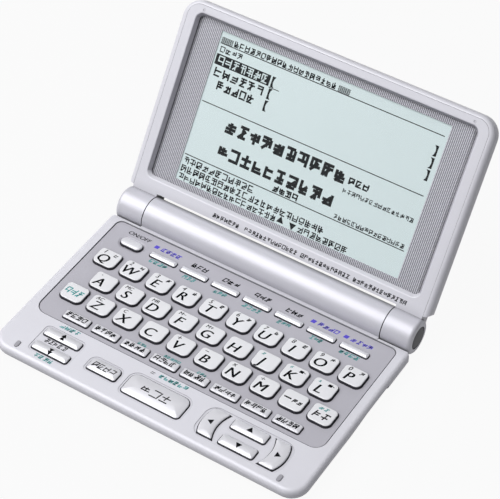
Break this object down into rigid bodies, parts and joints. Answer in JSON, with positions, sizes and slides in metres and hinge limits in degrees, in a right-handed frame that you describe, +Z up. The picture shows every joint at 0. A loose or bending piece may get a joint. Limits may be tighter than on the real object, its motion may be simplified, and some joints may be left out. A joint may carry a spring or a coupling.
{
  "type": "electronic dictionary",
  "caption": "Pocket electronic dictionary with a letter keyboard and a hinged lid that holds a wide display.",
  "frame": {"origin": "on the surface it stands on, under the middle of the open dictionary's box", "axes": "+X to the right of the person typing, +Y to the back where the lid stands, +Z up"},
  "size_m": [0.143, 0.1478, 0.0818],
  "materials": {
    "silver_case": "satin",
    "lilac_panel": "satin",
    "letter_key_white": "satin",
    "silver_key": "satin",
    "key_mat_rubber": "matte",
    "main_board_laminate": "satin",
    "display_board_laminate": "satin",
    "cell_jacket": "gloss",
    "contact_metal": "satin",
    "foot_rubber": "matte",
    "screw_steel": "satin",
    "pad_rubber": "matte",
    "flat_cable": "satin",
    "clear_window": "gloss",
    "border_print": "satin",
    "display_cell": "gloss",
    "hinge_steel": "satin",
    "cap_grey": "satin"
  },
  "bodies": {
    "base": {"upper_case": "silver_case", "lower_case": "silver_case", "keyboard_panel": "lilac_panel", "key_mat": "key_mat_rubber", "main_board": "main_board_laminate", "batteries": "cell_jacket", "battery_contacts": "contact_metal", "rubber_feet": "foot_rubber", "case_screws": "screw_steel", "closing_pads": "pad_rubber", "display_flex": "flat_cable"},
    "lid": {"lid_back": "silver_case", "lid_frame": "silver_case", "display_window": "clear_window", "display_border": "border_print", "display_glass": "display_cell", "display_board": "display_board_laminate", "hinge_pins": "hinge_steel", "hinge_end_caps": "cap_grey"},
    "battery_cover": {"battery_cover": "silver_case"},
    "page_up_key": {"page_up_key": "silver_key"},
    "page_down_key": {"page_down_key": "silver_key"},
    "back_key": {"back_key": "silver_key"},
    "enter_key": {"enter_key": "silver_key"},
    "left_key": {"left_key": "silver_key"},
    "right_key": {"right_key": "silver_key"},
    "up_key": {"up_key": "silver_key"},
    "down_key": {"down_key": "silver_key"},
    "power_key": {"power_key": "silver_key"},
    "upper_function_keys": {"upper_function_keys": "silver_key"},
    "lower_function_keys": {"lower_function_keys": "silver_key"},
    "key_q_cap": {"key_q": "letter_key_white"},
    "key_w_cap": {"key_w": "letter_key_white"},
    "key_e_cap": {"key_e": "letter_key_white"},
    "key_r_cap": {"key_r": "letter_key_white"},
    "key_t_cap": {"key_t": "letter_key_white"},
    "key_y_cap": {"key_y": "letter_key_white"},
    "key_u_cap": {"key_u": "letter_key_white"},
    "key_i_cap": {"key_i": "letter_key_white"},
    "key_o_cap": {"key_o": "letter_key_white"},
    "key_p_cap": {"key_p": "letter_key_white"},
    "key_a_cap": {"key_a": "letter_key_white"},
    "key_s_cap": {"key_s": "letter_key_white"},
    "key_d_cap": {"key_d": "letter_key_white"},
    "key_f_cap": {"key_f": "letter_key_white"},
    "key_g_cap": {"key_g": "letter_key_white"},
    "key_h_cap": {"key_h": "letter_key_white"},
    "key_j_cap": {"key_j": "letter_key_white"},
    "key_k_cap": {"key_k": "letter_key_white"},
    "key_l_cap": {"key_l": "letter_key_white"},
    "key_shift_cap": {"key_shift": "letter_key_white"},
    "key_z_cap": {"key_z": "letter_key_white"},
    "key_x_cap": {"key_x": "letter_key_white"},
    "key_c_cap": {"key_c": "letter_key_white"},
    "key_v_cap": {"key_v": "letter_key_white"},
    "key_b_cap": {"key_b": "letter_key_white"},
    "key_n_cap": {"key_n": "letter_key_white"},
    "key_m_cap": {"key_m": "letter_key_white"},
    "key_dash_cap": {"key_dash": "letter_key_white"},
    "key_delete_cap": {"key_delete": "letter_key_white"}
  },
  "joints": [
    {"name": "lid_hinge", "type": "hinge", "parent": "base", "child": "lid", "pos_m": [0, 0.01692, 0.0081], "axis": [-1, 0, 0], "range_deg": [-125, 35]},
    {"name": "battery_cover_slide", "type": "slide", "parent": "base", "child": "battery_cover", "axis": [0, 1, 0], "range_m": [0, 0.012]},
    {"name": "page_up_key_press", "type": "slide", "parent": "base", "child": "page_up_key", "axis": [0, 0, -1], "range_m": [0, 0.0006], "stiffness_N_per_m": 700},
    {"name": "page_down_key_press", "type": "slide", "parent": "base", "child": "page_down_key", "axis": [0, 0, -1], "range_m": [0, 0.0006], "stiffness_N_per_m": 700},
    {"name": "back_key_press", "type": "slide", "parent": "base", "child": "back_key", "axis": [0, 0, -1], "range_m": [0, 0.0006], "stiffness_N_per_m": 700},
    {"name": "enter_key_press", "type": "slide", "parent": "base", "child": "enter_key", "axis": [0, 0, -1], "range_m": [0, 0.0006], "stiffness_N_per_m": 700},
    {"name": "left_key_press", "type": "slide", "parent": "base", "child": "left_key", "axis": [0, 0, -1], "range_m": [0, 0.0006], "stiffness_N_per_m": 700},
    {"name": "right_key_press", "type": "slide", "parent": "base", "child": "right_key", "axis": [0, 0, -1], "range_m": [0, 0.0006], "stiffness_N_per_m": 700},
    {"name": "up_key_press", "type": "slide", "parent": "base", "child": "up_key", "axis": [0, 0, -1], "range_m": [0, 0.0006], "stiffness_N_per_m": 700},
    {"name": "down_key_press", "type": "slide", "parent": "base", "child": "down_key", "axis": [0, 0, -1], "range_m": [0, 0.0006], "stiffness_N_per_m": 700},
    {"name": "power_key_press", "type": "slide", "parent": "base", "child": "power_key", "axis": [0, 0, -1], "range_m": [0, 0.0005], "stiffness_N_per_m": 700},
    {"name": "upper_function_keys_press", "type": "slide", "parent": "base", "child": "upper_function_keys", "axis": [0, 0, -1], "range_m": [0, 0.0005], "stiffness_N_per_m": 700},
    {"name": "lower_function_keys_press", "type": "slide", "parent": "base", "child": "lower_function_keys", "axis": [0, 0, -1], "range_m": [0, 0.0005], "stiffness_N_per_m": 700},
    {"name": "key_q_press", "type": "slide", "parent": "base", "child": "key_q_cap", "axis": [0, 0, -1], "range_m": [0, 0.0008], "stiffness_N_per_m": 700},
    {"name": "key_w_press", "type": "slide", "parent": "base", "child": "key_w_cap", "axis": [0, 0, -1], "range_m": [0, 0.0008], "stiffness_N_per_m": 700},
    {"name": "key_e_press", "type": "slide", "parent": "base", "child": "key_e_cap", "axis": [0, 0, -1], "range_m": [0, 0.0008], "stiffness_N_per_m": 700},
    {"name": "key_r_press", "type": "slide", "parent": "base", "child": "key_r_cap", "axis": [0, 0, -1], "range_m": [0, 0.0008], "stiffness_N_per_m": 700},
    {"name": "key_t_press", "type": "slide", "parent": "base", "child": "key_t_cap", "axis": [0, 0, -1], "range_m": [0, 0.0008], "stiffness_N_per_m": 700},
    {"name": "key_y_press", "type": "slide", "parent": "base", "child": "key_y_cap", "axis": [0, 0, -1], "range_m": [0, 0.0008], "stiffness_N_per_m": 700},
    {"name": "key_u_press", "type": "slide", "parent": "base", "child": "key_u_cap", "axis": [0, 0, -1], "range_m": [0, 0.0008], "stiffness_N_per_m": 700},
    {"name": "key_i_press", "type": "slide", "parent": "base", "child": "key_i_cap", "axis": [0, 0, -1], "range_m": [0, 0.0008], "stiffness_N_per_m": 700},
    {"name": "key_o_press", "type": "slide", "parent": "base", "child": "key_o_cap", "axis": [0, 0, -1], "range_m": [0, 0.0008], "stiffness_N_per_m": 700},
    {"name": "key_p_press", "type": "slide", "parent": "base", "child": "key_p_cap", "axis": [0, 0, -1], "range_m": [0, 0.0008], "stiffness_N_per_m": 700},
    {"name": "key_a_press", "type": "slide", "parent": "base", "child": "key_a_cap", "axis": [0, 0, -1], "range_m": [0, 0.0008], "stiffness_N_per_m": 700},
    {"name": "key_s_press", "type": "slide", "parent": "base", "child": "key_s_cap", "axis": [0, 0, -1], "range_m": [0, 0.0008], "stiffness_N_per_m": 700},
    {"name": "key_d_press", "type": "slide", "parent": "base", "child": "key_d_cap", "axis": [0, 0, -1], "range_m": [0, 0.0008], "stiffness_N_per_m": 700},
    {"name": "key_f_press", "type": "slide", "parent": "base", "child": "key_f_cap", "axis": [0, 0, -1], "range_m": [0, 0.0008], "stiffness_N_per_m": 700},
    {"name": "key_g_press", "type": "slide", "parent": "base", "child": "key_g_cap", "axis": [0, 0, -1], "range_m": [0, 0.0008], "stiffness_N_per_m": 700},
    {"name": "key_h_press", "type": "slide", "parent": "base", "child": "key_h_cap", "axis": [0, 0, -1], "range_m": [0, 0.0008], "stiffness_N_per_m": 700},
    {"name": "key_j_press", "type": "slide", "parent": "base", "child": "key_j_cap", "axis": [0, 0, -1], "range_m": [0, 0.0008], "stiffness_N_per_m": 700},
    {"name": "key_k_press", "type": "slide", "parent": "base", "child": "key_k_cap", "axis": [0, 0, -1], "range_m": [0, 0.0008], "stiffness_N_per_m": 700},
    {"name": "key_l_press", "type": "slide", "parent": "base", "child": "key_l_cap", "axis": [0, 0, -1], "range_m": [0, 0.0008], "stiffness_N_per_m": 700},
    {"name": "key_shift_press", "type": "slide", "parent": "base", "child": "key_shift_cap", "axis": [0, 0, -1], "range_m": [0, 0.0008], "stiffness_N_per_m": 700},
    {"name": "key_z_press", "type": "slide", "parent": "base", "child": "key_z_cap", "axis": [0, 0, -1], "range_m": [0, 0.0008], "stiffness_N_per_m": 700},
    {"name": "key_x_press", "type": "slide", "parent": "base", "child": "key_x_cap", "axis": [0, 0, -1], "range_m": [0, 0.0008], "stiffness_N_per_m": 700},
    {"name": "key_c_press", "type": "slide", "parent": "base", "child": "key_c_cap", "axis": [0, 0, -1], "range_m": [0, 0.0008], "stiffness_N_per_m": 700},
    {"name": "key_v_press", "type": "slide", "parent": "base", "child": "key_v_cap", "axis": [0, 0, -1], "range_m": [0, 0.0008], "stiffness_N_per_m": 700},
    {"name": "key_b_press", "type": "slide", "parent": "base", "child": "key_b_cap", "axis": [0, 0, -1], "range_m": [0, 0.0008], "stiffness_N_per_m": 700},
    {"name": "key_n_press", "type": "slide", "parent": "base", "child": "key_n_cap", "axis": [0, 0, -1], "range_m": [0, 0.0008], "stiffness_N_per_m": 700},
    {"name": "key_m_press", "type": "slide", "parent": "base", "child": "key_m_cap", "axis": [0, 0, -1], "range_m": [0, 0.0008], "stiffness_N_per_m": 700},
    {"name": "key_dash_press", "type": "slide", "parent": "base", "child": "key_dash_cap", "axis": [0, 0, -1], "range_m": [0, 0.0008], "stiffness_N_per_m": 700},
    {"name": "key_delete_press", "type": "slide", "parent": "base", "child": "key_delete_cap", "axis": [0, 0, -1], "range_m": [0, 0.0008], "stiffness_N_per_m": 700}
  ]
}
